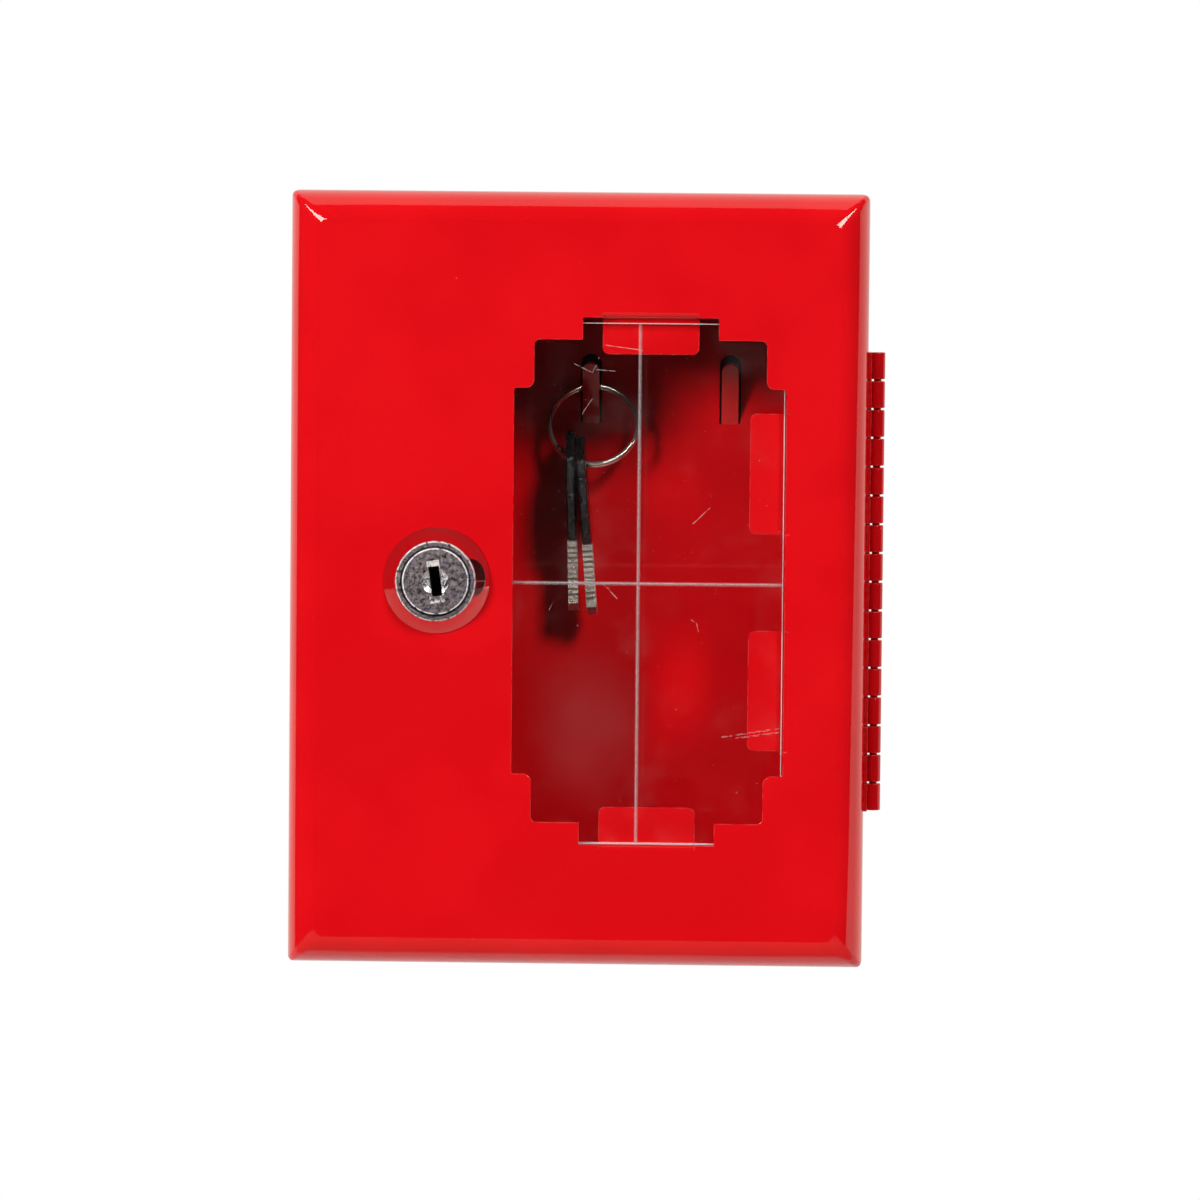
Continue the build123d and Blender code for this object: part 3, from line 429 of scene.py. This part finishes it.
def acrylic(name, low, high):
    """Clear sheet: mirrors at grazing angles, frosted score grooves and bright sawn edges."""
    t = Tree(name)
    x, y, z = t.split(t.place)
    mid_x = (low.x + high.x) / 2
    mid_z = (low.z + high.z) / 2
    off_x = t.math("ABSOLUTE", t.math("SUBTRACT", x, mid_x))
    off_z = t.math("ABSOLUTE", t.math("SUBTRACT", z, mid_z))
    near = t.math("MINIMUM", off_x, off_z)
    groove = t.product(t.math("LESS_THAN", near, GROOVE_HALF),
                       t.math("GREATER_THAN", y, high.y - GROOVE_DEEP))
    reach_x = t.math("SUBTRACT", (high.x - low.x) / 2, off_x)
    reach_z = t.math("SUBTRACT", (high.z - low.z) / 2, off_z)
    rim = t.math("LESS_THAN", t.math("MINIMUM", reach_x, reach_z), SAWN_EDGE)

    dust = t.specks(4.1 * MM, 0.10 * MM, 0.30)
    fine = t.specks(1.3 * MM, 0.055 * MM, 0.22)
    smear = t.ramp(t.noise(11 * MM, 4.0, 0.6), 0.50, 0.80)
    # a milky patch low on the left
    far = t.vector("DISTANCE", t.stretch((1.0, 0.0, 0.7)), MILKY_AT)["Value"]
    milky_patch = t.product(t.ramp(far, 15 * MM, 2 * MM), t.noise(9 * MM, 4.0))
    scratches = t.largest(*[t.line(start, end, HAIR_HALF) for start, end in SCRATCHES])
    broken = t.ramp(t.noise(0.9 * MM, 2.0), 0.40, 0.55)
    haze = t.largest(t.product(smear, 0.012), t.product(milky_patch, 0.022),
                     t.product(scratches, broken, 0.5), t.product(t.largest(dust, fine), 0.6))
    torn = t.between(t.ramp(t.noise(0.5 * MM, 3.0), 0.35, 0.7), 0.62, 0.95)
    deep = t.between(t.math("LESS_THAN", near, GROOVE_CORE), 0.22, 0.62)
    cover = t.largest(haze, t.product(groove, torn, deep), t.product(rim, torn))

    clear = t.node("ShaderNodeBsdfTransparent")
    clear.inputs["Color"].default_value = (0.998, 0.995, 0.995, 1.0)
    mirror = t.node("ShaderNodeBsdfGlossy")
    mirror.inputs["Roughness"].default_value = 0.03
    wave = t.noise(30 * MM, 1.0)
    t.put(t.bump(wave, 0.02 * MM), mirror.inputs["Normal"])
    fresnel = t.node("ShaderNodeFresnel")
    fresnel.inputs["IOR"].default_value = 1.49
    backward = t.node("ShaderNodeNewGeometry").outputs["Backfacing"]
    outer = t.math("SUBTRACT", 1.0, backward)
    sheet = t.blend(t.product(fresnel.outputs[0], outer), clear.outputs[0], mirror.outputs[0])

    matt = t.node("ShaderNodeBsdfDiffuse")
    matt.inputs["Color"].default_value = rgb(244, 238, 238)
    through = t.node("ShaderNodeBsdfTranslucent")
    through.inputs["Color"].default_value = rgb(244, 238, 238)
    frost = t.blend(0.25, matt.outputs[0], through.outputs[0])
    return t.finish(t.blend(cover, sheet, frost))


def dress(material, *names):
    """Gives one finish to the CAD nodes named."""
    for name in names:
        slots = nodes[name].data.materials
        slots.clear()
        slots.append(material)


dress(red_paint("red_paint", painted_inside_shade=True), "case_wrap", "door_panel")
# lit and shaded copies of the red paint: the back panel painted lighter, the hinge painted darker
dress(red_paint("red_paint_lightened_back", dusty=2.0, tone=1.05), "back_panel")
dress(red_paint("red_paint_darkened_hinge", 0.2 * MM, tone=0.93), "hinge_leaf_door", "hinge_leaf_case",
      "hinge_pin")
pane_low, pane_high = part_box("window_pane")
dress(acrylic("clear_acrylic", pane_low, pane_high), "window_pane")
# the front 0.9 mm of the lock's head counts as its face
lock_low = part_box("lock_housing")[0]
dress(lock_chrome("chrome_plate", lock_low.y + 0.9 * MM), "lock_housing", "plug_face_cap")
dress(chrome("nickel_wire", rgb(240, 232, 218), 0.12, 0.22, metal=0.85), "key_ring")
dress(chrome("nickel_plate", rgb(236, 226, 212), 0.18, 0.36, metal=0.88, painted_edge_highlight=True),
      "key_1_blade", "key_2_blade")
dress(zinc("zinc_steel", rgb(190, 192, 198)), "lock_washer", "lock_nut", "stop_washer", "cam",
      "spring_washer", "cam_screw")
dress(brass("brass_wafers"), "wafers")
dress(core("core_metal"), "lock_plug")
dress(chrome("spring_wire", rgb(190, 188, 186), 0.15, 0.25, 0.03 * MM), "wafer_springs")
dress(black_plastic("black_plastic"), "key_1_bow", "key_2_bow")


# ---- camera -------------------------------------------------------------------------
camera_data = bpy.data.cameras.new("camera")
camera = bpy.data.objects.new("camera", camera_data)
scene.collection.objects.link(camera)
CAMERA_AT = Vector((0.034124, -1.239122, 0.067815))
CAMERA_TO = Vector((0.004889, -0.040, -0.003755))
CAMERA_ROLL = 0.00915804
camera_data.sensor_width = 36.0
camera_data.lens = 174.29
camera_data.clip_start = 0.05
camera.location = CAMERA_AT
aim = (CAMERA_TO - CAMERA_AT).to_track_quat("-Z", "Y").to_matrix()
camera.rotation_euler = (aim @ Matrix.Rotation(CAMERA_ROLL, 3, "Z")).to_euler()
scene.camera = camera


# ---- light --------------------------------------------------------------------------
def lamp(name, azimuth, height, distance, wide, tall, power):
    """Soft box aimed at the box; azimuth 0 is the camera side, positive to the right."""
    a = math.radians(azimuth)
    h = math.radians(height)
    data = bpy.data.lights.new(name, "AREA")
    data.shape = "RECTANGLE"
    data.size = wide
    data.size_y = tall
    data.energy = power
    made = bpy.data.objects.new(name, data)
    made.location = Vector((math.sin(a) * math.cos(h), -math.cos(a) * math.cos(h),
                            math.sin(h))) * distance
    made.rotation_euler = (-made.location).to_track_quat("-Z", "Y").to_euler()
    made.visible_camera = False
    made.visible_glossy = False
    scene.collection.objects.link(made)


LAMP_DISTANCE = 1.6
LAMP_WIDE = 0.3
LAMP_TALL = 0.35
lamp("lamp_left", -37, 14, LAMP_DISTANCE, LAMP_WIDE, LAMP_TALL, 17.5)
lamp("lamp_right", 27, 31, LAMP_DISTANCE, LAMP_WIDE, LAMP_TALL, 12.4)

# white to the eye; scattered light comes from the wall side, little from the room in front
world = Tree("world", world=True)
fade = world.node("ShaderNodeMapRange")
for key, value in (("From Min", -0.35), ("From Max", 0.10), ("To Min", 0.02), ("To Max", 1.0),
                   ("Value", world.split(world.coords["Generated"])["Y"])):
    world.put(value, fade.inputs[key])
level = world.node("ShaderNodeMix", data_type="FLOAT")
for index, value in ((0, world.looked_at()), (2, fade.outputs[0]), (3, 1.0)):
    world.put(value, level.inputs[index])
background = world.node("ShaderNodeBackground")
background.inputs["Color"].default_value = (1.0, 1.0, 1.0, 1.0)
world.put(level.outputs[0], background.inputs["Strength"])
scene.world = world.finish(background.outputs[0])


# ---- stage --------------------------------------------------------------------------
def grid_mesh(name, points, faces, material):
    mesh = bpy.data.meshes.new(name)
    mesh.from_pydata(points, [], faces)
    made = bpy.data.objects.new(name, mesh)
    mesh.materials.append(material)
    scene.collection.objects.link(made)
    return made


def lying(name, half_x, front_y, back_y, z, material):
    """Level stage sheet."""
    return grid_mesh(name, [(-half_x, front_y, z), (half_x, front_y, z), (half_x, back_y, z),
                            (-half_x, back_y, z)], [(0, 1, 2, 3)], material)


def upright(name, middle_x, half_x, y, low_z, high_z, material):
    """Stage sheet that stands facing the camera side."""
    left_x = middle_x - half_x
    right_x = middle_x + half_x
    return grid_mesh(name, [(left_x, y, low_z), (right_x, y, low_z), (right_x, y, high_z),
                            (left_x, y, high_z)], [(0, 1, 2, 3)], material)


def matt_shade(name, size, first, second):
    """Matt material that wanders between two close colours."""
    t = Tree(name)
    return t.finish(t.surface(Base_Color=t.mix(t.noise(size, 2.0), first, second), Roughness=1.0))


FLOOR_Z = -0.3
MAT_Z = -0.285
paper = Tree("floor_paper")
paper_shade = paper.mix(paper.noise(0.05, 2.0), rgb(236, 236, 236), rgb(242, 242, 242))
# little light comes back from the floor on the camera side, most from below the box
below = paper.ramp(paper.split(paper.place)[1], -0.26, -0.14)
paper_shade = paper.mix(paper.largest(paper.looked_at(), below), rgb(84, 82, 82), paper_shade)
floor_paper = paper.finish(paper.surface(Base_Color=paper_shade, Roughness=0.9))
lying("floor", 1.2, -1.4, 0.45, FLOOR_Z, floor_paper)

# dark sheets behind the hook slots: painted shade standing in for the shaded wall behind the box
painted_slot_shade = matt_shade("painted_slot_shade", 0.01, rgb(48, 8, 9), rgb(62, 10, 12))
for number, hook_x in enumerate((1.7 * MM, 31.3 * MM)):
    upright("wall_behind_slot_%d" % (number + 1), hook_x, 3 * MM, -0.5 * MM, 31.0 * MM,
            47.5 * MM, painted_slot_shade)


# dark studio behind the camera and strip lights: only gloss sees them
def from_box(off_axis, turn, distance):
    """Point seen from the box at off_axis degrees from straight ahead, turned up from the right."""
    r = math.radians(off_axis)
    a = math.radians(turn)
    return (distance * math.sin(r) * math.cos(a), -distance * math.cos(r),
            distance * math.sin(r) * math.sin(a))


def gloss_only(made):
    made.visible_camera = False
    made.visible_diffuse = False
    made.visible_transmission = False
    made.visible_shadow = False


dark_cloth = matt_shade("dark_cloth", 0.1, rgb(34, 34, 36), rgb(44, 44, 46))
FLAG_R = 1.3
FLAG_TOP = FLAG_R * math.tan(math.radians(79))
FLAG_BAND_Z = 0.08           # below this the cloth ends sooner on the right
FLAG_LEFT = -114
FLAG_RIGHT = 103
FLAG_RIGHT_LOW = 68
FLAG_STEPS = 24
flag_points = []
flag_faces = []
for step in range(FLAG_STEPS + 1):
    share = step / FLAG_STEPS
    # each column: height and where the cloth ends on the right
    for height, right in ((MAT_Z, FLAG_RIGHT_LOW), (FLAG_BAND_Z, FLAG_RIGHT),
                          (FLAG_TOP, FLAG_RIGHT)):
        a = math.radians(FLAG_LEFT + (right - FLAG_LEFT) * share)
        flag_points.append((FLAG_R * math.sin(a), -FLAG_R * math.cos(a), height))
for step in range(FLAG_STEPS):
    k = 3 * step
    flag_faces.append((k, k + 3, k + 4, k + 1))
    flag_faces.append((k + 1, k + 4, k + 5, k + 2))
gloss_only(grid_mesh("dark_flag", flag_points, flag_faces, dark_cloth))

# dark wings past the flag's ends, on the upper diagonals: five corners, degrees off axis
# and degrees round it from the wing's middle
UP_RIGHT = 45
UP_LEFT = 135
WING_REACH = 120
WING_TIP = 136
for name, turn, start in (("dark_wing_right", UP_RIGHT, 98), ("dark_wing_left", UP_LEFT, 106)):
    corners = ((start, -24), (start, 24), (WING_REACH, 15), (WING_TIP, 0), (WING_REACH, -15))
    wing = [from_box(off_axis, turn + aside, FLAG_R) for off_axis, aside in corners]
    gloss_only(grid_mesh(name, wing, [(0, 1, 2, 3, 4)], dark_cloth))

# a darker mat on the camera side of the floor, and the bright wall behind the box
grey_mat = matt_shade("grey_mat", 0.1, rgb(156, 146, 138), rgb(164, 154, 146))
gloss_only(lying("floor_mat", 1.3, -1.3, -0.03, MAT_Z, grey_mat))
wall_tree = Tree("wall_glow")
wall_glow = wall_tree.finish(wall_tree.glow(0.9, (1.0, 0.90, 0.84, 1.0)))
gloss_only(upright("wall_wash", 0.0, 2.4, 0.5, -0.9, 2.6, wall_glow))

# strip lights that run out on the upper diagonals and narrow as they go, in degrees from
# straight ahead; they glow in first reflections alone
STRIP_R = 1.25
STRIP_GLOW = 18.0
STRIP_START = 11
STRIP_END = 70
STRIP_HALF_START = 8
STRIP_HALF_END = 1.5
STRIP_STEPS = 8
strip_tree = Tree("strip_light")
depth = strip_tree.node("ShaderNodeLightPath").outputs["Ray Depth"]
first = strip_tree.math("LESS_THAN", depth, 1.5)
strip_light = strip_tree.finish(strip_tree.glow(strip_tree.product(first, STRIP_GLOW)))
for name, turn in (("strip_right", UP_RIGHT), ("strip_left", UP_LEFT)):
    strip_points = []
    strip_faces = []
    for step in range(STRIP_STEPS + 1):
        off_axis = STRIP_START + (STRIP_END - STRIP_START) * step / STRIP_STEPS
        half = STRIP_HALF_START + (STRIP_HALF_END - STRIP_HALF_START) * step / STRIP_STEPS
        strip_points.append(from_box(off_axis, turn - half, STRIP_R))
        strip_points.append(from_box(off_axis, turn + half, STRIP_R))
    for step in range(STRIP_STEPS):
        k = 2 * step
        strip_faces.append((k, k + 2, k + 3, k + 1))
    gloss_only(grid_mesh(name, strip_points, strip_faces, strip_light))
